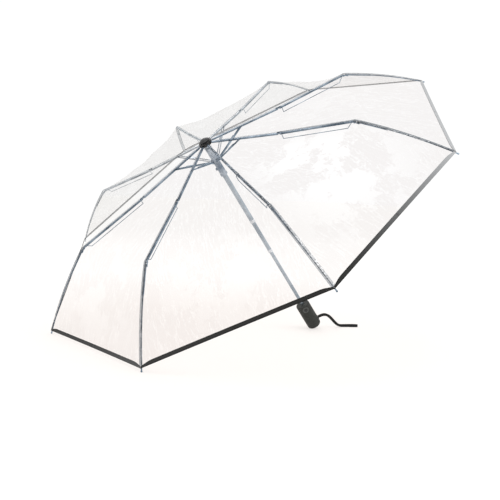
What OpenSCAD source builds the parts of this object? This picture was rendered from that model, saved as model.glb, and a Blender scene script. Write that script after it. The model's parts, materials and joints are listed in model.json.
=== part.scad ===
// Three-fold compact umbrella with a clear film canopy, open, lying on two rib tips and its handle.
// Every piece is drawn upright about the shaft's axis, with z = 0 on top of the crown, and then laid down.

/* [Canopy] */
// Distance from the shaft's axis to the centre of a rib's tip
rim_r = 485; // [475:1:495]
// How far the rib tips lie below the top of the crown
rim_drop = 172; // [165:1:180]
// Thickness of the film
film_t = 0.5; // [0.4:0.1:0.6]
// How far the rim bows in between two tips
rim_bow = 4; // [0:1:8]
// Width of the tape round the rim
binding_w = 8; // [6:1:9]

/* [Ribs] */
// Radius of the crown's wire, on which the inner ribs hinge
crown_r = 12.2; // [12.1:0.1:12.6]
// Radius of the runner's wire, on which the stretchers hinge
runner_r = 9.2; // [9:0.1:9.2]
// Inner rib, from the crown's wire to its outer pin
inner_len = 156.6; // [155:0.1:159]
// Slope of the inner rib when the umbrella is open
inner_slope = 8.75; // [8:0.25:9.5]
// Middle rib, from pin to pin
middle_len = 161.5; // [159:0.5:163]
// Slope of the middle rib when the umbrella is open
middle_slope = 6.5; // [5.5:0.25:7]
// How far the outer rib bows up
outer_bow = 5; // [3:1:6]
// Width of a channel rib
rib_w = 4.2; // [4:0.1:4.3]
// Height of a channel rib
rib_h = 3; // [2.8:0.1:3]
// Stretcher, from the runner's wire to its rivet
stretcher_len = 79; // [78.5:0.5:80]
// Distance of that rivet from the inner rib's hinge
stretcher_at = 70.2; // [70:0.1:71]

/* [Shaft] */
// Outer diameter of the top tube, which is the widest
top_tube_d = 10.5; // [10.4:0.1:10.8]
// Wall of each tube
tube_wall = 0.6; // [0.5:0.05:0.65]
// Lower end of the top tube, below the top of the crown
top_tube_end = 218; // [216:1:222]
// Lower end of the middle tube
middle_tube_end = 303; // [300:1:306]

/* [Handle] */
// Top of the grip, below the top of the crown
grip_top = 468; // [465:1:475]
// Length of the grip
grip_len = 68; // [66:1:80]
// Diameter of the grip
grip_d = 32; // [31:0.5:34]
// Diameter of the push button
button_d = 8; // [7.5:0.5:8.5]
// How far the button travels
button_travel = 2.5; // [2:0.5:2.5]

/* [Hidden] */
$fn = 48;

steel = "lightsteelblue";
black = [0.12, 0.12, 0.12];

// Ribs: eight of them, with the shaft's lean in the plane halfway between two
ribs = 8;
rib_step = 360 / ribs;
rib_wall = 0.5;
rib_gap = 0.4;
eye_w = 2.2;
eye_r = 1.5;
pin_r = 0.74;
bore_r = 0.8;
wire_r = 0.6;
fork_wall = 0.55;
side_gap = 0.15;
outer_w = 3.2;
outer_h = 2.4;
outer_channel_len = 62;
outer_wire_r = 1;
tip_r = 1.8;
drive_wire_r = 0.65;
drive_wire_side = 4.05;
drive_wire_drop = 10;
tape_from_tip = 4.5;

// A point on a strip that slopes down by a from the origin, as [radius, height]
function turned(p, a) = [p[0] * cos(a) + p[1] * sin(a), p[1] * cos(a) - p[0] * sin(a)];
function arc_height(x, l, bow) = 4 * bow * (x / l) * (1 - x / l);

// The hinge pins of one rib in its own upright plane, as [radius, height]
crown_pin = [crown_r, -12];
lift_1 = (rib_h + rib_gap) / 2;
drop_2 = (rib_h + outer_h) / 4 + 0.15;
pin_1 = crown_pin + turned([inner_len, lift_1], inner_slope);
pin_2 = pin_1 + turned([middle_len, -lift_1 - drop_2], middle_slope);
tip = [rim_r, -rim_drop];
reach = tip - pin_2;
outer_len = sqrt(reach * reach - drop_2 * drop_2);
outer_slope = atan2(-reach[1], reach[0]) + atan2(drop_2, outer_len);
rivet = crown_pin + turned([stretcher_at, 0], inner_slope);
runner_pin_z = rivet[1] - sqrt(pow(stretcher_len, 2) - pow(rivet[0] - runner_r, 2));
stretcher_slope = atan2(rivet[1] - runner_pin_z, rivet[0] - runner_r);

// Shaft
middle_tube_d = top_tube_d - 2 * tube_wall - 0.2;
lower_tube_d = middle_tube_d - 2 * tube_wall - 0.2;
middle_tube_top = 153;
lower_tube_top = 283;
grip_end = grip_top + grip_len;
grip_edge = 6;

// Lying down: the tips of ribs 4 and 5 and the grip's rounded end meet the floor
tip_low = [-rim_r * cos(rib_step / 2), -rim_drop];
edge_low = [grip_edge - grip_d / 2, grip_edge - grip_end];
span = tip_low - edge_low;
tilt = 90 - atan2(span[1], span[0]) + acos((tip_r - grip_edge) / norm(span));
rest_z = tip_r - tip_low[0] * sin(tilt) - tip_low[1] * cos(tilt);
rim_shift = rim_drop * sin(tilt);

module lay() translate([-rim_shift, 0, rest_z]) rotate([0, -tilt, 0]) children();
module at_rib(k) rotate([0, 0, rib_step * (k - 0.5)]) children();
// Moves a strip drawn along +X, with its normal along +Z, to a pin and a slope
module on_slope(pin, slope) translate([pin[0], 0, pin[1]]) rotate([0, slope, 0]) children();
module across(x, z, r, w) translate([x, -w / 2, z]) rotate([-90, 0, 0]) cylinder(r = r, h = w);
// A closed tube wall, from z = -from down to z = -to
module ring(from, to, r_out, r_in) difference() {
    translate([0, 0, -to]) cylinder(r = r_out, h = to - from);
    translate([0, 0, -to - 1]) cylinder(r = r_in, h = to - from + 2);
}

// A U-shaped strip from x = from to x = to, open below, with its middle at height z
module channel(from, to, w, h, z) difference() {
    translate([from, -w / 2, z - h / 2]) cube([to - from, w, h]);
    translate([from - 1, rib_wall - w / 2, z - h / 2 - 1])
        cube([to - from + 2, w - 2 * rib_wall, h - rib_wall + 1]);
}

module inner_rib() color(steel) difference() {
    union() {
        across(0, 0, eye_r, eye_w);
        translate([0, -eye_w / 2, -1.2]) cube([5.5, eye_w, 2.4]);
        channel(4.2, inner_len - 3.4, rib_w, rib_h, 0);
        translate([4.2, -rib_w / 2, -rib_h / 2]) cube([1.4, rib_w, rib_h]);
        // the outer end, two cheeks that rise to the pin
        for (side = [-1, 1]) translate([0, side * (rib_w - rib_wall) / 2, 0]) {
            across(inner_len, lift_1, eye_r, rib_wall);
            translate([inner_len - 5, -rib_wall / 2, -rib_h / 2]) cube([5, rib_wall, rib_h]);
            translate([inner_len - 2.8, -rib_wall / 2, 0]) cube([2.8, rib_wall, lift_1 + eye_r]);
        }
        // the rivet of the stretcher, flush with the sides
        across(stretcher_at, 0, 0.9, rib_w);
    }
    across(0, 0, bore_r, eye_w + 2);
    across(inner_len, lift_1, bore_r, rib_w + 2);
}

// Origin at the pin that joins it to the inner rib
module middle_rib() color(steel) {
    fork_gap = rib_w + 2 * side_gap;
    end_z = -lift_1 - drop_2;
    difference() {
        union() {
            channel(3.8, middle_len - 3.4, rib_w, rib_h, -lift_1);
            // the fork round the inner rib's end
            for (side = [-1, 1]) translate([0, side * (fork_gap + fork_wall) / 2, 0]) {
                across(0, 0, eye_r, fork_wall);
                translate([0, -fork_wall / 2, -eye_r]) cube([9, fork_wall, eye_r + 0.6]);
            }
            translate([6, -fork_gap / 2 - 0.1, -eye_r]) cube([3, fork_gap + 0.2, 1.2]);
            // the far end, two cheeks that drop to the second pin
            for (side = [-1, 1]) translate([0, side * (rib_w - rib_wall) / 2, 0]) {
                across(middle_len, end_z, eye_r, rib_wall);
                translate([middle_len - 2.6, -rib_wall / 2, end_z - eye_r])
                    cube([2.6, rib_wall, eye_r + drop_2]);
                translate([middle_len - 5, -rib_wall / 2, -lift_1 - rib_h / 2])
                    cube([5, rib_wall, rib_h - 0.6]);
            }
        }
        across(middle_len, end_z, bore_r, rib_w + 2);
    }
    across(0, 0, pin_r, fork_gap + 2 * fork_wall + 0.3);
    drive_wire();
}

// A straight piece of wire from a to b, with a ball at b where the next piece starts
module wire_piece(a, b, r, ball) {
    d = b - a;
    translate(a) rotate([0, acos(d[2] / norm(d)), atan2(d[1], d[0])]) cylinder(r = r, h = norm(d));
    if (ball) translate(b) sphere(r = r + 0.05);
}

// The thin wire below and beside the middle rib, bent in to it at both ends
module drive_wire() {
    inside = 0.3 - rib_w / 2;
    start = 9;
    end = middle_len - 6;
    run = [[start, inside, -lift_1],
        [start, -drive_wire_side, -lift_1],
        [start, -drive_wire_side, -lift_1 - drive_wire_drop],
        [end - drive_wire_drop, -drive_wire_side, -lift_1 - drive_wire_drop],
        [end, -drive_wire_side, -lift_1],
        [end, inside, -lift_1]];
    last = len(run) - 2;
    for (i = [0 : last]) wire_piece(run[i], run[i + 1], drive_wire_r, i < last);
}

// Origin at the pin that joins it to the middle rib; the ends of its bow lie drop_2 above that
module outer_rib() color(steel) {
    fork_gap = rib_w + 2 * side_gap;
    rise = atan2(arc_height(outer_channel_len, outer_len, outer_bow), outer_channel_len);
    tip_slope = atan2(4 * outer_bow, outer_len);
    translate([0, 0, drop_2]) rotate([0, -rise, 0]) channel(3.6, outer_channel_len, outer_w, outer_h, 0);
    // the fork round the middle rib's end
    for (side = [-1, 1]) translate([0, side * (fork_gap + fork_wall) / 2, 0]) {
        across(0, 0, eye_r, fork_wall);
        translate([0, -fork_wall / 2, -0.6]) cube([9, fork_wall, eye_r + 0.6]);
    }
    translate([6, -fork_gap / 2 - 0.1, 0.5]) cube([3, fork_gap + 0.2, 1]);
    across(0, 0, pin_r, fork_gap + 2 * fork_wall + 0.3);
    bowed_wire(outer_channel_len - 3);
    translate([outer_len, 0, drop_2]) sphere(r = tip_r);
    translate([outer_len, 0, drop_2]) rotate([0, tip_slope - 90, 0]) cylinder(r = 1.3, h = 6);
}

// The outer rib's wire, an arc from x = from to the tip
module bowed_wire(from) {
    r = (outer_len * outer_len / 4 + outer_bow * outer_bow) / (2 * outer_bow);
    first = asin((outer_len / 2 - from) / r);
    last = asin(outer_len / 2 / r);
    translate([outer_len / 2, 0, drop_2 + outer_bow - r]) rotate([90, 0, 0]) rotate([0, 0, 90 - last])
        rotate_extrude(angle = first + last, $fn = 1440) translate([r, 0]) circle(r = outer_wire_r, $fn = 24);
}

// Origin at the runner's wire, drawn along +X towards the rivet: two strips that straddle the inner rib
module stretcher() color(steel) {
    gap = rib_w + 0.8;
    wall = 0.5;
    h = 2.4;
    web_from = 38;
    web_to = 55;
    difference() {
        union() {
            across(0, 0, eye_r, eye_w);
            translate([0, -eye_w / 2, -h / 2]) cube([6, eye_w, h]);
            translate([4.6, -gap / 2 - wall, -h / 2]) cube([1.4, gap + 2 * wall, h]);
            translate([web_from, -gap / 2 - wall, rib_h / 2 + 0.3])
                cube([web_to - web_from, gap + 2 * wall, 0.6]);
            for (side = [-1, 1]) translate([0, side * (gap + wall) / 2, 0]) {
                translate([4.6, -wall / 2, -h / 2]) cube([stretcher_len - 4.6, wall, h]);
                translate([web_from, -wall / 2, 0]) cube([web_to - web_from, wall, rib_h / 2 + 0.9]);
                across(stretcher_len, 0, h / 2, wall);
            }
        }
        across(0, 0, bore_r, eye_w + 2);
    }
}

// Eight radial slots, open below, for the ends of the ribs or the stretchers
module slots(z_low, h, r_root) for (k = [1 : ribs]) at_rib(k)
    translate([r_root, -eye_w / 2 - 0.2, z_low]) cube([10, eye_w + 0.4, h]);
module wire_ring(z, ring_r, r)
    translate([0, 0, z]) rotate_extrude() translate([ring_r, 0]) circle(r = r, $fn = 24);

module crown() color([0.16, 0.16, 0.17]) difference() {
    translate([0, 0, -15]) cylinder(r = crown_r + 1.3, h = 8);
    translate([0, 0, -16]) cylinder(r = top_tube_d / 2 + 0.03, h = 10);
    slots(-17, 7.2, crown_r - 2);
    wire_ring(crown_pin[1], crown_r, wire_r + 0.03);
}

module crown_wire() color("silver") wire_ring(crown_pin[1], crown_r, wire_r);

module crown_cap() color(black) union() {
    intersection() {
        translate([0, 0, -15.5]) sphere(r = 15.5);
        translate([0, 0, -5.4]) cylinder(r = 11.2, h = 6);
    }
    translate([0, 0, -17]) cylinder(r = top_tube_d / 2 - tube_wall - 0.1, h = 12);
}

module tube(from, to, d) color(steel) ring(from, to, d / 2, d / 2 - tube_wall);
module top_tube() tube(7.6, top_tube_end, top_tube_d);
module middle_tube() tube(middle_tube_top, middle_tube_end, middle_tube_d);
module lower_tube() tube(lower_tube_top, grip_end - 28, lower_tube_d);

// A bush that is pressed over the end of a tube and guides the next one
module bush(end, d, d_next) color("gainsboro") difference() {
    translate([0, 0, -end - 3.5]) cylinder(r = d / 2 + 0.5, h = 7.5);
    translate([0, 0, -end]) cylinder(r = d / 2 + 0.02, h = 5);
    translate([0, 0, -end - 5]) cylinder(r = d_next / 2 + 0.05, h = 7);
}
module top_tube_bush() bush(top_tube_end, top_tube_d, middle_tube_d);
module middle_tube_bush() bush(middle_tube_end, middle_tube_d, lower_tube_d);

// A round wire wound along -Z from z = top, as one closed tube of straight facets
module coil(top, length, turns, r, wire, steps, sides) {
    count = turns * steps;
    points = [for (i = [0 : count], j = [0 : sides - 1])
        let (a = 360 * i / steps, b = 360 * j / sides, q = r + wire * cos(b))
        [q * cos(a), q * sin(a), top - length * i / count + wire * sin(b)]];
    walls = [for (i = [0 : count - 1], j = [0 : sides - 1])
        let (n = (j + 1) % sides, p = i * sides)
        each [[p + j, p + n, p + sides + n], [p + j, p + sides + n, p + sides + j]]];
    first = [for (j = [sides - 1 : -1 : 0]) j];
    last = [for (j = [0 : sides - 1]) count * sides + j];
    polyhedron(points, concat([first], walls, [last]), convexity = 10);
}
module main_spring() color("silver") coil(-19, 132, 15, 2.5, 0.45, 10, 5);

module runner() color([0.62, 0.66, 0.7]) {
    z = -runner_pin_z;
    difference() {
        union() {
            translate([0, 0, -z - 3.5]) cylinder(r = runner_r + 1.2, h = 7);
            translate([0, 0, -z]) cylinder(r = 7.5, h = z - 22);
            translate([0, 0, -z - 37]) cylinder(r = 7.2, h = 38);
            translate([0, 0, -z - 37]) cylinder(r = 8, h = 4);
            // the catch's tab, which a finger presses
            rotate([0, 0, 135]) translate([6.5, -1.75, -z - 22]) cube([3.3, 3.5, 5]);
        }
        translate([0, 0, -z - 40]) cylinder(r = top_tube_d / 2 + 0.1, h = z + 40);
        slots(runner_pin_z - 5, 10, runner_r - 1.7);
        wire_ring(runner_pin_z, runner_r, wire_r + 0.03);
    }
}
module runner_wire() color("silver") wire_ring(runner_pin_z, runner_r, wire_r);

// Canopy: the film over one rib, as [radius, height], from the crown's hole to the tape
function film_line(gap) = [
    [6, -6.2],
    [crown_r + 2.4, -6.6],
    crown_pin + turned([7.5, gap], inner_slope),
    crown_pin + turned([inner_len / 2, gap], inner_slope),
    pin_1 + [-3, 2.3],
    pin_1 + [3, 2.2],
    pin_1 + turned([middle_len / 2, gap - lift_1], middle_slope),
    pin_2 + [2, 5],
    pin_2 + turned([0.3 * outer_len, drop_2 + 2.6 + arc_height(0.3, 1, outer_bow)], outer_slope),
    pin_2 + turned([0.55 * outer_len, drop_2 + 2.4 + arc_height(0.55, 1, outer_bow)], outer_slope),
    pin_2 + turned([0.78 * outer_len, drop_2 + 2.2 + arc_height(0.78, 1, outer_bow)], outer_slope),
    rim_point(tape_from_tip + binding_w)];
// A point over the outer rib's wire, that far in from the tip
function rim_point(from_tip) = pin_2 + turned([outer_len - from_tip,
    drop_2 + 2 + arc_height(outer_len - from_tip, outer_len, outer_bow)], outer_slope);

// A point that is a share u of the way along the straight chord between two neighbouring ribs
function chord_point(p, u, k, bow) =
    let (a = rib_step * (k - 0.5), b = a + rib_step, in = 1 - bow * 4 * u * (1 - u) / p[0],
         x = (1 - u) * cos(a) + u * cos(b), y = (1 - u) * sin(a) + u * sin(b))
    [p[0] * in * x, p[0] * in * y, p[1]];

module canopy_panel(k) color([0.9, 0.95, 1, 0.35]) {
    line = film_line(3.6);
    rows = len(line);
    cols = 7;
    lean = 0.004;
    sheet = [for (side = [0, 1], i = [0 : rows - 1], j = [0 : cols - 1])
        let (u = lean + (1 - 2 * lean) * j / (cols - 1), bow = rim_bow * pow(i / (rows - 1), 3))
        chord_point(line[i], u, k, bow) + [0, 0, side * film_t]];
    half = rows * cols;
    quads = [for (i = [0 : rows - 2], j = [0 : cols - 2])
        let (p = i * cols + j) [p, p + 1, p + cols + 1, p + cols]];
    under = [for (q = quads) each [[q[0], q[1], q[2]], [q[0], q[2], q[3]]]];
    over = [for (t = under) [t[2] + half, t[1] + half, t[0] + half]];
    edge = concat([for (j = [0 : cols - 1]) j],
                  [for (i = [1 : rows - 1]) i * cols + cols - 1],
                  [for (j = [cols - 2 : -1 : 0]) (rows - 1) * cols + j],
                  [for (i = [rows - 2 : -1 : 1]) i * cols]);
    walls = [for (n = [0 : len(edge) - 1])
        let (p = edge[n], q = edge[(n + 1) % len(edge)])
        each [[q, p, p + half], [q, p + half, q + half]]];
    polyhedron(sheet, concat(under, over, walls), convexity = 4);
}

module rim_binding() color(black) {
    inside = rim_point(tape_from_tip + binding_w - 0.4);
    outside = rim_point(tape_from_tip);
    pieces = 6;
    count = ribs * pieces;
    section = [inside + [0, -0.3], outside + [0, -0.3], outside + [0, 0.7], inside + [0, 0.7]];
    points = [for (n = [0 : count - 1], p = section)
        chord_point(p, (n % pieces) / pieces, floor(n / pieces) + 1, rim_bow)];
    faces = [for (n = [0 : count - 1], j = [0 : 3])
        let (m = (n + 1) % count, i = (j + 1) % 4)
        each [[4 * n + j, 4 * m + i, 4 * n + i], [4 * n + j, 4 * m + j, 4 * m + i]]];
    polyhedron(points, faces, convexity = 10);
}

// Handle: the button faces button_azimuth, and the strap leaves a quarter turn from it
button_azimuth = 240;
button_z = -grip_top - 9.5;
strap_azimuth = 330;
strap_z = -grip_end + 15;
cap_split = grip_end - 8;
module facing(azimuth, z) translate([0, 0, z]) rotate([0, 90, azimuth]) children();

// The outer shape of the whole handle
module grip_body() rotate_extrude($fn = 96) union() {
    translate([0, -grip_end + grip_edge]) square([grip_d / 2, grip_len - grip_edge - 2.5]);
    translate([0, -grip_end]) square([grip_d / 2 - grip_edge, grip_len]);
    translate([grip_d / 2 - grip_edge, -grip_end + grip_edge]) intersection() {
        circle(r = grip_edge);
        translate([0, -grip_edge]) square([grip_edge, grip_edge + 1]);
    }
    translate([grip_d / 2 - 2.5, -grip_top - 2.5]) intersection() {
        circle(r = 2.5);
        translate([0, -1]) square([2.5, 3.5]);
    }
    translate([0, -grip_top - 2.6]) square([grip_d / 2 - 2.5, 2.6]);
}
grip_bore = grip_d / 2 - 2.4;
module grip() color(black) difference() {
    grip_body();
    translate([0, 0, -grip_end - 1]) cylinder(r = grip_bore, h = grip_len - 2);
    translate([0, 0, -grip_end - 1]) cylinder(r = lower_tube_d / 2 + 0.1, h = grip_len + 5);
    translate([0, 0, -grip_end - 1]) cylinder(r = grip_d, h = grip_end - cap_split + 1);
    facing(button_azimuth, button_z) cylinder(r = button_d / 2 + 0.2, h = grip_d);
    facing(strap_azimuth, strap_z) cylinder(r = 3.5, h = grip_d);
}
module grip_end_cap() color(black) difference() {
    union() {
        intersection() {
            grip_body();
            translate([0, 0, -grip_end - 1]) cylinder(r = grip_d, h = grip_end - cap_split + 0.95);
        }
        translate([0, 0, -cap_split - 2]) cylinder(r = grip_bore - 0.1, h = 5);
    }
    translate([0, 0, -cap_split - 4]) cylinder(r = grip_bore - 2, h = 10);
}
module grip_core() color([0.25, 0.25, 0.26]) difference() {
    translate([0, 0, -cap_split + 4]) cylinder(r = grip_bore - 0.1, h = cap_split - grip_top - 7.2);
    translate([0, 0, -grip_end + 28]) cylinder(r = lower_tube_d / 2 + 0.03, h = grip_len);
    facing(button_azimuth, button_z) translate([0, 0, 7.6]) cylinder(r = button_d / 2 + 1.2, h = grip_d);
    facing(strap_azimuth, strap_z) translate([0, 0, 4]) cylinder(r = 3.5, h = grip_d);
}

module button() color(black) facing(button_azimuth, button_z) {
    intersection() {
        translate([0, 0, 10.6]) cylinder(r = button_d / 2, h = 7.1);
        sphere(r = 17.6, $fn = 96);
    }
    translate([0, 0, 10.9]) cylinder(r = button_d / 2 + 0.8, h = 1.4);
    translate([0, 0, 10.2]) cylinder(r = 1.4, h = 3);
}
module button_bezel() color([0.3, 0.3, 0.31]) difference() {
    intersection() {
        ring(grip_top + 1, grip_top + 20, grip_d / 2 + 0.5, grip_d / 2);
        facing(button_azimuth, button_z) cylinder(r = 7.4, h = grip_d);
    }
    facing(button_azimuth, button_z) cylinder(r = button_d / 2 + 0.2, h = grip_d);
}
module button_spring() color("silver") facing(button_azimuth, button_z) coil(10.2, 2.2, 3, 3.1, 0.3, 16, 6);

module strap_anchor() color(black) facing(strap_azimuth, strap_z) difference() {
    union() {
        translate([0, 0, 5]) cylinder(r = 3.3, h = 10);
        translate([0, 0, grip_d / 2]) cylinder(r = 4.6, h = 1);
        translate([0, 0, 14]) cylinder(r = 3.3, h = 2.5);
    }
    translate([0, 0, 17]) cylinder(r = 3, h = 3);
}

// Wrist strap: a loop of flat webbing that stands on its edge; its route in the laid-down frame
strap_w = 6;
strap_t = 1.6;
strap_route = [
    [235, -7.5, 29], [240, -10.5, 32], [246.5, -12.3, 33.6], [253.5, -13, 33], [261, -13, 30],
    [269, -12.8, 24.8], [277.5, -12.5, 18], [286, -12.2, 11.4], [294.5, -12.2, 6.2],
    [303, -12.8, 3.7], [311.5, -14.5, 3.2], [320.5, -17.5, 3.2], [329, -21, 3.2],
    [336.5, -24.5, 3.2], [341.5, -28.2, 3.2], [342.5, -32, 3.2], [338.8, -34.2, 3.2],
    [333, -32, 3.2], [326, -28.2, 3.2], [318, -23.8, 3.2], [310, -20, 3.2], [301.5, -17.8, 3.7],
    [293, -17, 6.2], [284.5, -17, 11.4], [276, -17.3, 18], [267.5, -17.8, 24.8], [259.5, -18, 30],
    [251.5, -17.5, 33], [244.5, -16, 33.6], [238, -13.6, 32], [233.5, -10, 29]];
function unit(v) = v / norm(v);
function heading(route, i) = unit(route[min(i + 1, len(route) - 1)] - route[max(i - 1, 0)]);
module wrist_strap() color(black) {
    sides = 8;
    count = len(strap_route);
    points = [for (i = [0 : count - 1], j = [0 : sides - 1])
        let (d = heading(strap_route, i), flat = unit(cross([0, 0, 1], d)), up = cross(d, flat),
             a = 360 * j / sides)
        strap_route[i] + flat * strap_t / 2 * cos(a) + up * strap_w / 2 * sin(a)];
    walls = [for (i = [0 : count - 2], j = [0 : sides - 1])
        let (n = (j + 1) % sides, p = i * sides)
        each [[p + j, p + sides + n, p + n], [p + j, p + sides + j, p + sides + n]]];
    first = [for (j = [0 : sides - 1]) j];
    last = [for (j = [sides - 1 : -1 : 0]) (count - 1) * sides + j];
    polyhedron(points, concat([first], walls, [last]), convexity = 10);
}

for (k = [1 : ribs]) {
    lay() at_rib(k) on_slope(crown_pin, inner_slope) inner_rib();
    lay() at_rib(k) on_slope(pin_1, middle_slope) middle_rib();
    lay() at_rib(k) on_slope(pin_2, outer_slope) outer_rib();
    lay() at_rib(k) on_slope([runner_r, runner_pin_z], -stretcher_slope) stretcher();
    lay() canopy_panel(k);
}
lay() rim_binding();
lay() crown();
lay() crown_cap();
lay() crown_wire();
lay() top_tube();
lay() top_tube_bush();
lay() main_spring();
lay() middle_tube();
lay() middle_tube_bush();
lay() lower_tube();
lay() runner();
lay() runner_wire();
lay() grip();
lay() grip_core();
lay() grip_end_cap();
lay() button();
lay() button_bezel();
lay() button_spring();
lay() strap_anchor();
wrist_strap();
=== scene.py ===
"""Looks of a clear three-fold umbrella that lies open on two rib tips and its handle.

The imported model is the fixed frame. The film canopy with its seams, its rim tape and the wrist strap are
built here around it; the metal and plastic parts are the frame's own, with better materials. All lengths
are in metres.
"""

import json
import math

import bpy
import numpy as np
from mathutils import Matrix, Vector, noise


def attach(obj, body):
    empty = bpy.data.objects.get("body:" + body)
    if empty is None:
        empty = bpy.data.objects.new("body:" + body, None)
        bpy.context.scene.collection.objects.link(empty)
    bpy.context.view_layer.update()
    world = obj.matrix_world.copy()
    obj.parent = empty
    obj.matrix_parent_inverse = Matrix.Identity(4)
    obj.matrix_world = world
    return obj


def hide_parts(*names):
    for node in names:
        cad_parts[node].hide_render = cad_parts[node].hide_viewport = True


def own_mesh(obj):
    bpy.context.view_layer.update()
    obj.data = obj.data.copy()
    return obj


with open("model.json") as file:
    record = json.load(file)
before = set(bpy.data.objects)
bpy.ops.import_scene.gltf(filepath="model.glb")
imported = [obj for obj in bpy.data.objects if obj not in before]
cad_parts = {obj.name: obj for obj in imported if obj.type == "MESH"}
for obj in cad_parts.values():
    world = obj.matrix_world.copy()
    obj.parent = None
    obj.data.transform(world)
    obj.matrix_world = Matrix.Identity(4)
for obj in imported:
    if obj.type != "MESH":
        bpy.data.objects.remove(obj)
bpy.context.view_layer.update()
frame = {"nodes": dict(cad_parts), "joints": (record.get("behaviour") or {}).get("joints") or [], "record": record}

RIBS = 8
JOINTS = {joint["name"]: joint for joint in frame["joints"]}
SEGMENTS = ("inner", "middle", "outer")


# --------------------------------------------------------------------------------------------------
# Camera


CAMERA_PLACE = Vector((-1.0472, -1.3654, 0.3433))
CAMERA_HEADING = math.radians(51.8)
CAMERA_DIP = math.radians(-5.085)
CAMERA_ROLL = math.radians(2.783)
CAMERA_LENS = 57.56


def make_camera():
    """The viewing angle: low, from the handle's left, with the horizon a little off level."""
    heading, dip, roll = CAMERA_HEADING, CAMERA_DIP, CAMERA_ROLL
    forward = Vector((math.cos(heading) * math.cos(dip), math.sin(heading) * math.cos(dip), math.sin(dip)))
    level = Vector((math.sin(heading), -math.cos(heading), 0))
    raised = level.cross(forward)
    right = level * math.cos(roll) + raised * math.sin(roll)
    up = raised * math.cos(roll) - level * math.sin(roll)
    data = bpy.data.cameras.new("camera")
    data.lens = CAMERA_LENS
    data.sensor_width = 36
    data.clip_start, data.clip_end = 0.05, 60
    camera = bpy.data.objects.new("camera", data)
    camera.matrix_world = Matrix((right, up, -forward)).transposed().to_4x4()
    camera.location = CAMERA_PLACE
    bpy.context.scene.collection.objects.link(camera)
    bpy.context.scene.camera = camera


# --------------------------------------------------------------------------------------------------
# Materials


class Shader:
    """A material's node tree, with short calls to add nodes to it."""

    def __init__(self, name):
        self.material = bpy.data.materials.new(name)
        self.material.use_nodes = True
        self.tree = self.material.node_tree
        self.tree.nodes.clear()
        self.output = self.tree.nodes.new("ShaderNodeOutputMaterial")

    def add(self, kind, **values):
        """A node of that kind. A value goes to the node's own setting or to the input socket of that name."""
        node = self.tree.nodes.new("ShaderNode" + kind)
        for name, value in values.items():
            if hasattr(node, name):
                setattr(node, name, value)
                continue
            socket = node.inputs[name.replace("_", " ")]
            if isinstance(value, bpy.types.NodeSocket):
                self.tree.links.new(value, socket)
            else:
                socket.default_value = value
        return node

    def link(self, source, node, name):
        self.tree.links.new(source, node.inputs[name])

    def principled(self, colour, roughness, **values):
        node = self.add("BsdfPrincipled", Roughness=roughness, **values)
        node.inputs["Base Color"].default_value = (*colour, 1)
        self.tree.links.new(node.outputs[0], self.output.inputs[0])
        return node

    def place(self, scale=(1, 1, 1)):
        """Points of the piece in metres, stretched by scale."""
        points = self.add("TexCoord").outputs["Object"]
        stretch = self.add("Mapping", Vector=points)
        stretch.inputs["Scale"].default_value = scale
        return stretch.outputs[0]

    def noise(self, scale, detail=3, rough=0.5, stretch=(1, 1, 1)):
        points = self.place(stretch)
        return self.add("TexNoise", Vector=points, Scale=scale, Detail=detail, Roughness=rough).outputs[0]

    def ramp(self, value, stops):
        """Turns a number into a colour; stops are (place, colour)."""
        node = self.add("ValToRGB", Fac=value)
        while len(node.color_ramp.elements) < len(stops):
            node.color_ramp.elements.new(0.5)
        for element, (place, colour) in zip(node.color_ramp.elements, stops):
            element.position = place
            element.color = (*colour, 1) if len(colour) == 3 else colour
        return node.outputs[0]

    def levels(self, value, low, high):
        """A number from 0 to 1 spread from low to high."""
        node = self.add("MapRange", Value=value)
        node.inputs["To Min"].default_value = low
        node.inputs["To Max"].default_value = high
        return node.outputs[0]

    def bump(self, height, strength, distance):
        return self.add("Bump", Height=height, Strength=strength, Distance=distance).outputs[0]

    def math(self, operation, first, second=0.0):
        node = self.add("Math", operation=operation)
        for socket, value in zip(node.inputs, (first, second)):
            if isinstance(value, bpy.types.NodeSocket):
                self.tree.links.new(value, socket)
            else:
                socket.default_value = value
        return node.outputs[0]

    def attribute(self, name):
        return self.add("Attribute", attribute_name=name).outputs["Fac"]


def metal(name, dark, light, roughness, grain, stretch=(1, 1, 1)):
    """Plated steel: a tone that drifts between dark and light, fine drawing marks and small smudges."""
    s = Shader(name)
    shader = s.principled(light, roughness, Metallic=1.0)
    drift = s.noise(grain, 4, 0.6, stretch)
    s.link(s.ramp(drift, [(0.35, dark), (0.62, light)]), shader, "Base Color")
    s.link(s.levels(s.noise(grain * 6, 2), roughness * 0.7, roughness * 1.35), shader, "Roughness")
    s.link(s.bump(s.noise(grain * 14, 2), 0.12, 0.0002), shader, "Normal")
    return s.material


def plastic(name, colour, wear_and_glint, roughness, grain, relief, **values):
    """Moulded plastic: a fine grain in the surface, and a colour that drifts at random towards a second tone:
    slightly on most parts, and on the runner far towards light, as painted highlights.
    """
    s = Shader(name)
    shader = s.principled(colour, roughness, **values)
    s.link(s.ramp(s.noise(38, 4, 0.6), [(0.38, colour), (0.7, wear_and_glint)]), shader, "Base Color")
    s.link(s.levels(s.noise(90, 3), roughness * 0.85, min(1.0, roughness * 1.2)), shader, "Roughness")
    s.link(s.bump(s.noise(grain, 2), relief, 0.0002), shader, "Normal")
    return s.material


def see_through(s, tint, mirror, normal):
    """Ends a material with light that goes straight through, tinted, mixed with a mirror-like gloss."""
    clear = s.add("BsdfTransparent")
    s.link(tint, clear, "Color")
    gloss = s.principled((0.97, 0.97, 0.98), 0.06, Metallic=0.85)
    s.link(normal, gloss, "Normal")
    mixed = s.add("MixShader", Fac=mirror)
    s.tree.links.new(clear.outputs[0], mixed.inputs[1])
    s.tree.links.new(gloss.outputs[0], mixed.inputs[2])
    s.tree.links.new(mixed.outputs[0], s.output.inputs[0])
    return s.material


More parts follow.
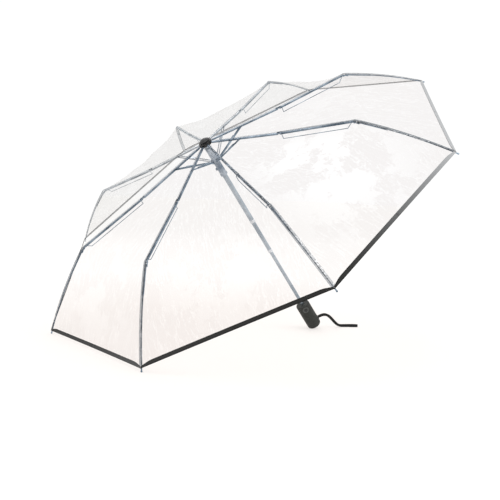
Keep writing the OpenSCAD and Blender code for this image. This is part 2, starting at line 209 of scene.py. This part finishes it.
def clear_film():
    """Thin clear film: it dims and warms what shows through a little, and less so on the far panels, as painted
    glare. Fine pale lines run down each panel, untinted, as painted highlights along its creases. Where the film
    is most crumpled, patches are fully clear, so they look white on a white ground: painted reflections."""
    s = Shader("clear film")
    ridges = s.math("ABSOLUTE", s.math("SUBTRACT", s.noise(46, 5, 0.62), 0.5))
    normal = s.bump(s.math("ADD", ridges, s.math("MULTIPLY", s.noise(240, 3), 0.06)), 0.25, 0.004)
    panel = s.add("CombineXYZ", X=s.attribute("across"), Y=s.attribute("down"))
    streaks = s.add("TexNoise", Vector=panel.outputs[0], Scale=7.0, Detail=5.0, Roughness=0.6).outputs[0]
    near_crest = s.math("ABSOLUTE", s.math("SUBTRACT", streaks, 0.5))
    # Painted highlights: the film left untinted along the crests of its creases
    crease_highlights = s.ramp(near_crest, [(0.0, (0.8,) * 3), (0.019, (0.0,) * 3)])
    # Painted reflections: white, untinted patches where the film is crumpled
    glare_patches = s.ramp(s.noise(11, 8, 0.72), [(0.50, (0.0,) * 3), (0.53, (1.0,) * 3)])
    shine = s.math("MAXIMUM", crease_highlights, s.math("MULTIPLY", glare_patches, s.attribute("glare_patches")))
    glance = s.add("LayerWeight", Blend=0.5).outputs["Facing"]
    dull = s.ramp(glance, [(0.0, (0.965, 0.942, 0.936)),
                           (0.75, (0.962, 0.943, 0.938)),
                           (1.0, (0.965, 0.957, 0.952))])
    # Painted glare: less tint on the far panels
    thin = s.add("MixRGB", Fac=s.attribute("glare_cleared"), Color1=dull)
    thin.inputs["Color2"].default_value = (0.99, 0.985, 0.98, 1)
    tint = s.add("MixRGB", Fac=shine, Color1=thin.outputs[0])
    tint.inputs["Color2"].default_value = (1, 1, 1, 1)
    mirror = s.math("ADD", s.math("MULTIPLY", s.math("POWER", glance, 5.0), 0.03), 0.07)
    mirror = s.math("MULTIPLY", mirror, s.math("SUBTRACT", 1.0, shine))
    return see_through(s, tint.outputs[0], mirror, normal)


def film_seam():
    """The welded double film over a rib: lighter in spots, as painted highlights, where its gloss is also raised;
    darker along its two edges; and darker all over with painted shade on some rib segments."""
    s = Shader("film seam")
    # Painted highlights: light spots in the seam's tint
    spots = s.ramp(s.noise(150, 3, 0.6), [(0.42, (0.0, 0.0, 0.0)), (0.6, (1.0, 1.0, 1.0))])
    glint_mask = s.math("MULTIPLY", spots, s.attribute("glint_share"))
    pale = s.ramp(glint_mask, [(0.0, (0.62, 0.64, 0.66)), (1.0, (0.86, 0.86, 0.86))])
    # Painted shade: the seam's tint darkened on the listed rib segments
    painted_shade = s.add("MixRGB", Fac=s.attribute("painted_shade"), Color1=pale)
    painted_shade.inputs["Color2"].default_value = (0.16, 0.19, 0.22, 1)
    centre = painted_shade.outputs[0]
    edge = s.ramp(s.attribute("edge"), [(0.45, (0.0, 0.0, 0.0)), (0.95, (1.0, 1.0, 1.0))])
    tint = s.add("MixRGB", Fac=edge, Color1=centre)
    tint.inputs["Color2"].default_value = (0.42, 0.44, 0.46, 1)
    normal = s.bump(s.noise(190, 3), 0.5, 0.002)
    mirror = s.math("ADD", s.math("MULTIPLY", glint_mask, 0.14), 0.05)
    return see_through(s, tint.outputs[0], mirror, normal)


def rim_tape():
    """Black woven tape, folded over the film's edge: greyer in the middle and darker towards its edges and fold,
    and washed out to grey where glare is painted on it."""
    s = Shader("rim tape")
    shader = s.principled((0.03, 0.03, 0.03), 0.75, Specular_IOR_Level=0.15)
    edge = s.attribute("edge")
    tones = s.ramp(edge, [(0.0, (0.022, 0.022, 0.021)), (0.75, (0.012, 0.012, 0.012)), (1, (0.005,) * 3)])
    # Painted glare: the black mixed towards grey where the tape is washed out
    glared = s.add("MixRGB", Fac=s.attribute("painted_glare"), Color1=tones)
    glared.inputs["Color2"].default_value = (0.50, 0.51, 0.52, 1)
    s.link(glared.outputs[0], shader, "Base Color")
    weave = s.add("TexWave", Vector=s.place(), Scale=420.0, Distortion=1.5).outputs[1]
    s.link(s.bump(weave, 0.4, 0.0003), shader, "Normal")
    return s.material


def webbing():
    """Narrow black webbing, with ribs across it."""
    s = Shader("webbing")
    shader = s.principled((0.012, 0.012, 0.012), 0.85, Specular_IOR_Level=0.2)
    weave = s.add("TexWave", Vector=s.place(), Scale=300.0, Distortion=2.0).outputs[1]
    s.link(s.ramp(weave, [(0.2, (0.006,) * 3), (0.9, (0.024, 0.024, 0.023))]), shader, "Base Color")
    s.link(s.bump(weave, 0.6, 0.0004), shader, "Normal")
    return s.material


def make_materials():
    return {
        "steel_rib": metal("rib steel", (0.065, 0.10, 0.14), (0.32, 0.40, 0.48), 0.34, 28),
        # Two paler copies of the rib steel, for the painted glare on the far ribs
        "glare_painted_rib": metal("rib steel with painted glare", (0.27, 0.30, 0.33), (0.50, 0.54, 0.58), 0.34, 28),
        "strong_glare_painted_rib": metal("rib steel with strong painted glare", (0.46, 0.49, 0.51), (0.68, 0.71, 0.73), 0.36, 28),
        "steel_tube": metal("tube steel", (0.30, 0.35, 0.40), (0.50, 0.56, 0.61), 0.28, 16),
        "steel_wire": metal("wire steel", (0.30, 0.31, 0.32), (0.62, 0.64, 0.66), 0.25, 60),
        "clear_film": clear_film(),
        "film_seam": film_seam(),
        "black_tape": rim_tape(),
        "grip_plastic": plastic("soft grip", (0.021, 0.022, 0.019), (0.031, 0.033, 0.029), 0.62, 900, 0.25,
                                Specular_IOR_Level=0.32),
        "black_plastic": plastic("black plastic", (0.008,) * 3, (0.016, 0.016, 0.017), 0.42, 700, 0.12),
        "bezel_plastic": plastic("bezel plastic", (0.05, 0.054, 0.05), (0.066, 0.07, 0.065), 0.5, 800, 0.15),
        "pale_plastic": plastic("pale plastic", (0.62, 0.66, 0.70), (0.74, 0.77, 0.80), 0.3, 500, 0.08),
        # The runner's light blotches are painted highlights
        "runner_plastic": plastic("runner plastic", (0.13, 0.18, 0.24), (0.52, 0.58, 0.64), 0.22, 300, 0.1),
        "core_plastic": plastic("core plastic", (0.035, 0.035, 0.038), (0.05, 0.05, 0.053), 0.6, 400, 0.1),
        "webbing": webbing(),
    }


# Paler steel for the far ribs, which stand against the light: painted glare, lit copies of the one rib steel
GLARE_PAINTED_RIBS = {1: "glare_painted_rib", 2: "strong_glare_painted_rib", 3: "glare_painted_rib"}


def dress_frame():
    """Gives every CAD node the material of its slot; the steel of the far ribs is painted brighter, as painted
    glare.
    """
    for part in frame["record"]["subparts"]:
        name = part["node"]
        material = part["material_slot"]
        if material == "steel_rib" and name[-1].isdigit():
            material = GLARE_PAINTED_RIBS.get(int(name[-1]), material)
        for held in frame["nodes"][name].material_slots:
            held.material = MATERIALS[material]


# --------------------------------------------------------------------------------------------------
# The umbrella's own upright frame, read from the joints


def hinge(segment, rib):
    return Vector(JOINTS[f"{segment}_rib_{rib}_hinge"]["pos_m"])


CROWN_HINGE_DROP = 0.012
UP = -Vector(JOINTS["canopy_fold"]["axis"])
ACROSS = Vector((0, 1, 0))
CROWN_TOP = sum((hinge("inner", k) for k in range(1, RIBS + 1)), Vector()) / RIBS + UP * CROWN_HINGE_DROP
LAID = Matrix((ACROSS.cross(UP), ACROSS, UP)).transposed().to_4x4()
LAID.translation = CROWN_TOP
RAISED = LAID.inverted()
RIB_STEP = 2 * math.pi / RIBS


def rib_angle(rib):
    return RIB_STEP * (rib - 0.5)


def in_rib_plane(point):
    """(distance from the shaft's axis, height) of a point in the row frame."""
    p = RAISED @ point
    return np.array((math.hypot(p.x, p.y), p.z))


TIP_BALL = 0.0018


def find_rib_tip():
    """The middle of the ball on an outer rib's end."""
    points = np.array([in_rib_plane(v.co) for v in frame["nodes"]["outer_rib_1"].data.vertices])
    return np.array((points[:, 0].max() - TIP_BALL, points[:, 1].min() + TIP_BALL))


PINS = [in_rib_plane(hinge(segment, 1)) for segment in SEGMENTS] + [find_rib_tip()]


def rib_point(segment, share, rise):
    """A point over a rib segment: a share of the way between its two pins, and rise above their line."""
    a, b = PINS[segment], PINS[segment + 1]
    along = (b - a) / np.linalg.norm(b - a)
    return a + (b - a) * share + rise * np.array((-along[1], along[0]))


# --------------------------------------------------------------------------------------------------
# Film: one continuous surface over all ribs, cut into pieces that follow each rib segment

FILM_RISE = (0.0036, 0.0022, 0.0048, 0.0022)
OUTER_BOW = 0.005
CROWN_HOLE = np.array((0.0062, -0.0062))
CROWN_SHOULDER = np.array((0.0146, -0.0066))
# Where the film first touches the inner rib, as a share of the rib
FIRST_CONTACT = 0.045
ROWS = (26, 28, 42)
HALF_COLS = 24
COLS = 2 * HALF_COLS
RIM_BOW = 0.0008
RIM_BOW_POWER = 3
FILM_SAG = 0.007
SOFT_RIDGE = 0.03

# Heights off the taut film, and how many times a metre or a panel's length each pattern changes
GATHER_HEIGHT, GATHERS_ACROSS, GATHERS_DOWN = 0.0011, 62, 1.7
FOLD_HEIGHT, FOLDS_ACROSS, FOLDS_DOWN = 0.0022, 17, 2.4
CRUMPLE_HEIGHT, CRUMPLES_ACROSS, CRUMPLES_DOWN = 0.0011, 24, 11
# Keeps the pattern of one panel from going on in the next
PANEL_OFFSET = 3.7
# How far gathers reach from the rim, and how near it they flatten out, as shares of the line's length
GATHERS_REACH = 0.16
GATHERS_END = 0.02
# How soon the film leaves the ribs and wrinkles freely
FREED_BY = 2.2

STREAK_STRETCH = 12
# Painted reflections: most crumpled place (from rib to rib, from crown to rim), how far that reaches, and how
# white it shines
GLARE_PATCHES = {6: ((0.54, 0.62), (0.42, 0.36), 1.0), 7: ((0.5, 0.55), (0.4, 0.3), 0.25)}
GLARE_PATCHES_ELSEWHERE = ((0.5, 0.8), (0.4, 0.2), 0.4)
# Painted glare: the far panels' film is the clearer
GLARE_CLEARED_PANELS = (8, 1, 2, 3)

TAPE_WIDTH = 0.008
TAPE_HALF = 0.00055
TAPE_INSIDE = 0.96
TAPE_AT_TIP = 0.5
TAPE_SPREADS_BY = 0.05
TAPE_FROM_TIP = 0.0045
TAPE_OVER_FILM = 0.0015
TAPE_STATIONS = 26
# Painted glare: how washed out the tape on each panel's rim is, at the panel's first rib and at its second
TAPE_GLARE = ((0.8, 0.8), (0.8, 0.7), (0.7, 0.1), (0.05, 0.12), (0.03, 0.0), (0.0, 0.8), (0.8, 0.8), (0.8, 0.8))
OUTER_LENGTH = float(np.linalg.norm(PINS[3] - PINS[2]))


def outer_rise(share):
    return FILM_RISE[2] + (FILM_RISE[3] - FILM_RISE[2]) * share + 4 * OUTER_BOW * share * (1 - share)


def film_over_rib():
    """The film's line over a rib, crown to tape, as (radius, height), and the row where each piece ends."""
    line = [CROWN_HOLE, CROWN_SHOULDER]
    for i in range(ROWS[0]):
        share = FIRST_CONTACT + (1 - FIRST_CONTACT) * i / (ROWS[0] - 1)
        line.append(rib_point(0, share, FILM_RISE[0] + (FILM_RISE[1] - FILM_RISE[0]) * share))
    ends = [len(line) - 1]
    for i in range(1, ROWS[1] + 1):
        share = i / ROWS[1]
        line.append(rib_point(1, share, FILM_RISE[1] + (FILM_RISE[2] - FILM_RISE[1]) * share))
    ends.append(len(line) - 1)
    last_share = 1 - (TAPE_FROM_TIP + TAPE_OVER_FILM) / OUTER_LENGTH
    for i in range(1, ROWS[2] + 1):
        share = last_share * i / ROWS[2]
        line.append(rib_point(2, share, outer_rise(share)))
    ends.append(len(line) - 1)
    return np.array(line), ends


def soften(points, lengths, spread):
    """points, as rows along a line, blurred over that distance; the first and last row stay."""
    weights = np.exp(-0.5 * ((lengths[:, None] - lengths[None, :]) / spread) ** 2)
    gaps = np.gradient(lengths)
    weights = weights * gaps[None, :]
    blurred = weights @ points / weights.sum(1)[:, None]
    near_end = np.minimum(lengths, lengths[-1] - lengths) / (2 * spread)
    share = np.clip(near_end, 0, 1)[:, None]
    return points + (blurred - points) * share


def ring_points(line):
    """The octagonal surface that the line sweeps from rib to rib, straight in between, as rows by columns."""
    lengths = np.concatenate(([0], np.cumsum(np.linalg.norm(np.diff(line, axis=0), axis=1))))
    soft_line = soften(line, lengths, SOFT_RIDGE)
    grid = np.zeros((len(line), RIBS * COLS, 3))
    down = lengths / lengths[-1]
    for k in range(RIBS):
        a, b = rib_angle(k + 1), rib_angle(k + 2)
        for j in range(COLS):
            u = j / COLS
            middle = 4 * u * (1 - u)
            here = line + (soft_line - line) * min(1.0, middle * 1.6)
            inward = 1 - RIM_BOW * down**RIM_BOW_POWER * middle / here[:, 0]
            x = (1 - u) * math.cos(a) + u * math.cos(b)
            y = (1 - u) * math.sin(a) + u * math.sin(b)
            reach = here[:, 0] * inward
            grid[:, k * COLS + j] = np.column_stack((reach * x, reach * y, here[:, 1]))
    return grid, down


def grid_normals(grid):
    """Outward unit normals of a grid that closes on itself across its columns."""
    along = np.gradient(grid, axis=0)
    across = np.roll(grid, -1, axis=1) - np.roll(grid, 1, axis=1)
    normals = np.cross(along, across)
    normals /= np.linalg.norm(normals, axis=2, keepdims=True)
    return normals * np.sign(normals[:, :, 2].mean())


def crease(x, y, seed):
    """A ridged pattern from -0.5 to 0.5, with sharp crests, as in crumpled film."""
    return 0.5 - abs(noise.noise((x, y, seed)) * 2)


def wrinkles(grid, down):
    """How far the film stands off its taut surface: sag between ribs, gathers at the tape and folds."""
    off = np.zeros(grid.shape[:2])
    for column in range(grid.shape[1]):
        u = (column % COLS) / COLS
        middle = 4 * u * (1 - u)
        held = min(1.0, middle * FREED_BY)
        for row in range(grid.shape[0]):
            radius = math.hypot(grid[row, column, 0], grid[row, column, 1])
            s = down[row]
            sector = column // COLS
            x = (u - 0.5) * radius * RIB_STEP + sector * PANEL_OFFSET
            mid_length = math.sin(math.pi * min(s, 0.98))
            sag = -FILM_SAG * middle * math.sin(math.pi * min(1.0, s * 1.02)) ** 0.8
            near_rim = math.exp(-(1 - s) / GATHERS_REACH)
            gathers = GATHER_HEIGHT * near_rim * noise.noise((x * GATHERS_ACROSS, s * GATHERS_DOWN, 5.1))
            gathers *= min(1.0, (1 - s) / GATHERS_END)
            long_folds = FOLD_HEIGHT * noise.noise((x * FOLDS_ACROSS, s * FOLDS_DOWN, 2.3)) * mid_length**0.6
            crumple = crease(x * CRUMPLES_ACROSS + 0.6 * s, s * CRUMPLES_DOWN, 9.4 + sector)
            off[row, column] = sag + held * (gathers + long_folds + CRUMPLE_HEIGHT * crumple * mid_length)
    return off


def new_mesh(name, points, faces, material, normals=None):
    mesh = bpy.data.meshes.new(name)
    mesh.from_pydata([tuple(p) for p in points], [], faces)
    mesh.materials.append(material)
    mesh.polygons.foreach_set("use_smooth", [True] * len(mesh.polygons))
    if normals is not None:
        mesh.normals_split_custom_set_from_vertices([tuple(n) for n in normals])
    mesh.update()
    piece = bpy.data.objects.new(name, mesh)
    bpy.context.scene.collection.objects.link(piece)
    return piece


def set_attribute(piece, name, values):
    layer = piece.data.attributes.new(name, "FLOAT", "POINT")
    layer.data.foreach_set("value", np.asarray(values, np.float32))


def grid_faces(rows, cols):
    return [(r * cols + c, r * cols + c + 1, (r + 1) * cols + c + 1, (r + 1) * cols + c)
            for r in range(rows - 1) for c in range(cols - 1)]


def tube_faces(count, sides):
    """The faces of a tube of that many rings of points, with its two ends closed."""
    faces = []
    for here in range(0, (count - 1) * sides, sides):
        for j in range(sides):
            k = (j + 1) % sides
            faces.append((here + j, here + k, here + sides + k, here + sides + j))
    return faces + [tuple(range(sides))[::-1], tuple(range((count - 1) * sides, count * sides))]


def laid_points(grid):
    turn = np.array(LAID.to_3x3())
    return grid @ turn.T + np.array(CROWN_TOP)


def fold_line(grid, rows, column, towards):
    """The middle of a piece's edge along a rib, and the way into the panel, square to the rib."""
    first, last = grid[rows[0], column], grid[rows[-1], column]
    along = (last - first) / np.linalg.norm(last - first)
    middle_row = rows[len(rows) // 2]
    across = grid[middle_row, towards] - grid[middle_row, column]
    across -= along * (across @ along)
    return (first + last) / 2, across / np.linalg.norm(across)


def panel_places(grid, down):
    """For the film's shader: where each point lies across its panel, and how strong each panel's painted
    reflections are where it is crumpled.
    """
    columns = np.arange(RIBS * COLS)
    radius = np.hypot(grid[:, :, 0], grid[:, :, 1])
    across = ((columns % COLS) / COLS - 0.5) * radius * RIB_STEP * STREAK_STRETCH
    across += columns // COLS * PANEL_OFFSET
    share = np.arange(COLS + 1) / COLS
    glare_patches = []
    for panel in range(1, RIBS + 1):
        place, reach, most = GLARE_PATCHES.get(panel, GLARE_PATCHES_ELSEWHERE)
        distance = np.hypot((share[None, :] - place[0]) / reach[0], (down[:, None] - place[1]) / reach[1])
        glare_patches.append(most * np.clip(1.4 - distance, 0, 1))
    return across, glare_patches


def make_film():
    """The canopy: one surface, then for each rib and side a piece on each of the three rib segments."""
    line, ends = film_over_rib()
    grid, down = ring_points(line)
    grid = grid + grid_normals(grid) * wrinkles(grid, down)[:, :, None]
    normals = grid_normals(grid) @ np.array(LAID.to_3x3()).T
    across, glare_patches = panel_places(grid, down)
    grid = laid_points(grid)
    starts = [0] + ends[:-1]
    for rib in range(1, RIBS + 1):
        home = (rib - 1) * COLS
        for side, step in (("left", 1), ("right", -1)):
            columns = [(home + step * j) % (RIBS * COLS) for j in range(HALF_COLS + 1)]
            panel = rib if step > 0 else (rib - 2) % RIBS + 1
            in_panel = range(HALF_COLS + 1) if step > 0 else range(COLS, HALF_COLS - 1, -1)
            for segment, first, last in zip(SEGMENTS, starts, ends):
                rows = list(range(first, last + 1))
                part = grid[np.ix_(rows, columns)]
                faces = grid_faces(len(rows), len(columns))
                if step < 0:
                    faces = [face[::-1] for face in faces]
                name = f"film_{segment}_{rib}_{side}"
                piece = new_mesh(name, part.reshape(-1, 3), faces, MATERIALS["clear_film"],
                                 normals[np.ix_(rows, columns)].reshape(-1, 3))
                set_attribute(piece, "across", across[np.ix_(rows, columns)].ravel())
                set_attribute(piece, "down", np.repeat(down[rows], len(columns)))
                set_attribute(piece, "glare_cleared", [float(panel in GLARE_CLEARED_PANELS)] * part[:, :, 0].size)
                set_attribute(piece, "glare_patches", glare_patches[panel - 1][np.ix_(rows, in_panel)].ravel())
                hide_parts(f"canopy_panel_{panel}")
                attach(piece, f"{segment}_rib_{rib}")
                anchor, inward = fold_line(grid, rows, columns[0], columns[-1])
                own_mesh(piece)
    return grid


SEAM_WIDTH = {"inner": 0.0052, "middle": 0.0056, "outer": 0.0086}
SEAM_RISE = 0.0004
SEAM_SHARES = (-1.0, -0.8, -0.35, 0.0, 0.35, 0.8, 1.0)
FIRST_SEAM_ROW = 3
# Painted shade: how far the seam over each listed rib segment is darkened towards dark
# blue-grey. The least width that a sheet can be declared with; the seams are narrower How dark
# the metal makes the seam over it, where it does
PAINTED_SHADE_ON_SEAMS = {
    ("outer", 7): 0.9, ("outer", 5): 0.6, ("outer", 4): 0.4, ("outer", 6): 0.4,
    ("middle", 7): 0.5, ("middle", 6): 0.3, ("middle", 5): 0.4}


def seam_glint_share(segment, share):
    """How much of a seam is spotted with painted highlights, a share of the way down its rib segment: most on the
    outer rib's wire.
    """
    if segment != "outer":
        return 0.45
    return 0.3 + 0.7 * min(1.0, max(0.0, share * 3 - 1.2))


def make_seams(grid):
    """A narrow second layer of film, welded on over each rib segment."""
    ends = film_over_rib()[1]
    starts = [FIRST_SEAM_ROW] + ends[:-1]
    normals = grid_normals(grid)
    for rib in range(1, RIBS + 1):
        home = (rib - 1) * COLS
        sides = {1: (home + 1) % (RIBS * COLS), -1: (home - 1) % (RIBS * COLS)}
        for segment, first, last in zip(SEGMENTS, starts, ends):
            half = SEAM_WIDTH[segment] / 2
            points, edges, glint_share = [], [], []
            for row in range(first, last + 1):
                centre = grid[row, home]
                glint_here = seam_glint_share(segment, (row - first) / ROWS[2])
                for share in SEAM_SHARES:
                    beside = grid[row, sides[1 if share >= 0 else -1]] - centre
                    rise = SEAM_RISE * (1.6 - abs(share))
                    points.append(centre + beside / np.linalg.norm(beside) * half * abs(share)
                                  + normals[row, home] * rise)
                    edges.append(abs(share))
                    glint_share.append(glint_here)
            count = last + 1 - first
            faces = grid_faces(count, len(SEAM_SHARES))
            piece = new_mesh(f"seam_{segment}_{rib}", points, faces, MATERIALS["film_seam"])
            set_attribute(piece, "edge", edges)
            set_attribute(piece, "glint_share", glint_share)
            set_attribute(piece, "painted_shade", [PAINTED_SHADE_ON_SEAMS.get((segment, rib), 0.0)] * len(points))
            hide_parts(f"canopy_panel_{rib}")
            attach(piece, f"{segment}_rib_{rib}")


# --------------------------------------------------------------------------------------------------
# Rim tape


def tape_section():
    """The outline of a tape folded over the film's edge, as (share of the width, height off the film), and
    how near each point is to an edge or the fold. The outside runs round the fold, the inside comes back."""
    across = ((0.0, 1.0), (0.05, 0.9), (0.14, 0.5), (0.3, 0.1),
              (0.5, 0.0), (0.7, 0.1), (0.86, 0.5), (0.94, 1.0))
    outside = [(share, TAPE_HALF, edge) for share, edge in across]
    outside += [(0.985, 0.75 * TAPE_HALF, 1.0), (1.0, 0.0, 1.0)]
    outside += [(share, -rise, edge) for share, rise, edge in outside[-2::-1]]
    inside = [(share * TAPE_INSIDE, rise * 0.4, edge) for share, rise, edge in outside[::-1]]
    return outside + inside


def tape_glare_at(rib, step, u):
    """How much painted glare washes out the tape at share u of the way from a rib to the next one on that side."""
    first, second = TAPE_GLARE[rib - 1] if step > 0 else TAPE_GLARE[rib - 2][::-1]
    low, high, share = (first, second, u) if first < second else (second, first, 1 - u)
    return low + (high - low) * share**2


def make_tape():
    """Two pieces a rib, each from the rib to the middle of its side."""
    inner_share = 1 - (TAPE_FROM_TIP + TAPE_WIDTH) / OUTER_LENGTH
    outer_share = 1 - TAPE_FROM_TIP / OUTER_LENGTH
    inner = rib_point(2, inner_share, outer_rise(inner_share))
    outer = rib_point(2, outer_share, outer_rise(outer_share))
    normal = np.array((-(outer - inner)[1], (outer - inner)[0])) / np.linalg.norm(outer - inner)
    section = tape_section()
    count = len(section)
    for rib in range(1, RIBS + 1):
        a = rib_angle(rib)
        for side, step in (("left", 1), ("right", -1)):
            b = a + step * RIB_STEP
            points, edges, painted_glare = [], [], []
            for i in range(TAPE_STATIONS):
                u = 0.5 * i / (TAPE_STATIONS - 1)
                bow = RIM_BOW * 4 * u * (1 - u)
                gathered = TAPE_AT_TIP + (1 - TAPE_AT_TIP) * min(1.0, u / TAPE_SPREADS_BY)
                for share, rise, edge in section:
                    p = outer + (inner - outer) * (1 - share) * gathered + normal * rise
                    q = np.array((p[0] - bow, p[1]))
                    x = (1 - u) * math.cos(a) + u * math.cos(b)
                    y = (1 - u) * math.sin(a) + u * math.sin(b)
                    points.append((q[0] * x, q[0] * y, q[1]))
                    edges.append(edge)
                    painted_glare.append(tape_glare_at(rib, step, u))
            faces = tube_faces(TAPE_STATIONS, count)
            if step < 0:
                faces = [face[::-1] for face in faces]
            grid = laid_points(np.array(points))
            piece = new_mesh(f"tape_{rib}_{side}", grid, faces, MATERIALS["black_tape"])
            set_attribute(piece, "edge", edges)
            set_attribute(piece, "painted_glare", painted_glare)
            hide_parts("rim_binding")
            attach(piece, f"outer_rib_{rib}")
            start, end = grid[:count].mean(0), grid[-count:].mean(0)
            along = np.array(LAID.to_3x3()) @ np.array((math.cos(a) * (outer - inner)[0],
                                                        math.sin(a) * (outer - inner)[0], (outer - inner)[1]))
            along /= np.linalg.norm(along)
            across = (end - start) - along * ((end - start) @ along)
            across /= np.linalg.norm(across)
            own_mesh(piece)


# --------------------------------------------------------------------------------------------------
# Wrist strap

STRAP_ROUTE = [
    (0.235, -0.0075, 0.029), (0.24, -0.0105, 0.032), (0.2465, -0.0123, 0.0336),
    (0.2535, -0.013, 0.033), (0.261, -0.013, 0.03), (0.269, -0.0128, 0.0248),
    (0.2775, -0.0125, 0.018), (0.286, -0.0122, 0.0114), (0.2945, -0.0122, 0.0062),
    (0.303, -0.0128, 0.0037), (0.3115, -0.0145, 0.0032), (0.3205, -0.0175, 0.0032),
    (0.329, -0.021, 0.0032), (0.3365, -0.0245, 0.0032), (0.3415, -0.0282, 0.0032),
    (0.3425, -0.032, 0.0032), (0.3388, -0.0342, 0.0032), (0.333, -0.032, 0.0032),
    (0.326, -0.0282, 0.0032), (0.318, -0.0238, 0.0032), (0.31, -0.02, 0.0032),
    (0.3015, -0.0178, 0.0037), (0.293, -0.017, 0.0062), (0.2845, -0.017, 0.0114),
    (0.276, -0.0173, 0.018), (0.2675, -0.0178, 0.0248), (0.2595, -0.018, 0.03),
    (0.2515, -0.0175, 0.033), (0.2445, -0.016, 0.0336), (0.238, -0.0136, 0.032),
    (0.2335, -0.01, 0.029)]
STRAP_WIDTH = 0.006
STRAP_THICK = 0.0016
STRAP_STEPS = 5
STRAP_SIDES = 16


def smooth_route(route, steps):
    """A Catmull-Rom curve through the route's points."""
    p = [np.array(route[0])] + [np.array(q) for q in route] + [np.array(route[-1])]
    curve = []
    for i in range(1, len(p) - 2):
        for n in range(steps):
            t = n / steps
            curve.append(0.5 * (2 * p[i] + (p[i + 1] - p[i - 1]) * t
                                + (2 * p[i - 1] - 5 * p[i] + 4 * p[i + 1] - p[i + 2]) * t**2
                                + (3 * p[i] - p[i - 1] - 3 * p[i + 1] + p[i + 2]) * t**3))
    curve.append(p[-2])
    return np.array(curve)


def make_strap():
    """A loop of flat webbing that stands on its edge."""
    path = smooth_route(STRAP_ROUTE, STRAP_STEPS)
    heading = np.gradient(path, axis=0)
    heading /= np.linalg.norm(heading, axis=1)[:, None]
    flat = np.cross((0.0, 0.0, 1.0), heading)
    flat /= np.linalg.norm(flat, axis=1)[:, None]
    up = np.cross(heading, flat)
    sides = STRAP_SIDES
    points = []
    for centre, f, n in zip(path, flat, up):
        for j in range(sides):
            a = 2 * math.pi * j / sides
            squared = (abs(math.cos(a)) ** 4 + abs(math.sin(a)) ** 4) ** -0.25
            points.append(centre + f * STRAP_THICK / 2 * math.cos(a) * squared
                          + n * STRAP_WIDTH / 2 * math.sin(a) * squared)
    strap = new_mesh("strap_loop", points, tube_faces(len(path), sides), MATERIALS["webbing"])
    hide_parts("wrist_strap")
    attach(strap, "handle")


# --------------------------------------------------------------------------------------------------
# Floor and light


FLOOR_HALF = 9
FLOOR_DROP = 0.0003
WORLD_STRENGTH = 1.08
# Name, place, size and watts; the last two show as bright patches on the near panel's outer and middle part
LIGHTS = (
    ("key", (-1.5, -1.2, 2.4), 1.6, 14), ("fill", (1.6, -1.8, 1.5), 1.2, 5), ("rim", (0.8, 2.2, 1.8), 1.4, 7),
    ("over", (-0.17, -0.86, 1.86), 0.42, 3), ("behind", (-0.04, 0.87, 1.81), 0.5, 3))
LIGHTS_AIM = Vector((0, 0, 0.2))


def make_stage():
    """A plain pale floor that glows evenly, with a painted shadow: its glow is darker and warmer under the
    umbrella; and soft light all round.
    """
    size = FLOOR_HALF
    mesh = bpy.data.meshes.new("floor")
    corners = [(-size, -size, 0), (size, -size, 0), (size, size, 0), (-size, size, 0)]
    mesh.from_pydata(corners, [], [(0, 1, 2, 3)])
    s = Shader("floor")
    shader = s.principled((0.35, 0.345, 0.335), 0.95, Specular_IOR_Level=0.0, Emission_Strength=0.71)
    # Painted shadow: the glow is darker and warmer within 0.4 m of the middle, and white beyond 1.15 m
    away = s.add("VectorMath", operation="LENGTH")
    s.link(s.place(), away, "Vector")
    spread = s.add("MapRange", Value=away.outputs["Value"])
    spread.inputs["From Min"].default_value = 0.4
    spread.inputs["From Max"].default_value = 1.15
    glow_and_painted_shadow = s.ramp(spread.outputs[0], [(0.0, (0.90, 0.855, 0.83)), (1.0, (1.0, 1.0, 1.0))])
    s.link(glow_and_painted_shadow, shader, "Emission Color")
    mesh.materials.append(s.material)
    floor = bpy.data.objects.new("floor", mesh)
    floor.location = (0, 0, -FLOOR_DROP)
    bpy.context.scene.collection.objects.link(floor)

    world = bpy.data.worlds.new("studio")
    bpy.context.scene.world = world
    world.use_nodes = True
    world.node_tree.nodes["Background"].inputs["Color"].default_value = (1, 1, 1, 1)
    world.node_tree.nodes["Background"].inputs["Strength"].default_value = WORLD_STRENGTH

    for name, place, size, power in LIGHTS:
        data = bpy.data.lights.new(name, "AREA")
        data.size, data.energy = size, power
        lamp = bpy.data.objects.new(name, data)
        lamp.location = place
        lamp.rotation_euler = (Vector(place) - LIGHTS_AIM).to_track_quat("Z", "Y").to_euler()
        bpy.context.scene.collection.objects.link(lamp)

    bpy.context.scene.view_settings.view_transform = "Standard"
    bpy.context.scene.view_settings.exposure = -0.06


# --------------------------------------------------------------------------------------------------

make_camera()
MATERIALS = make_materials()
make_strap()
dress_frame()
make_seams(make_film())
make_tape()
make_stage()
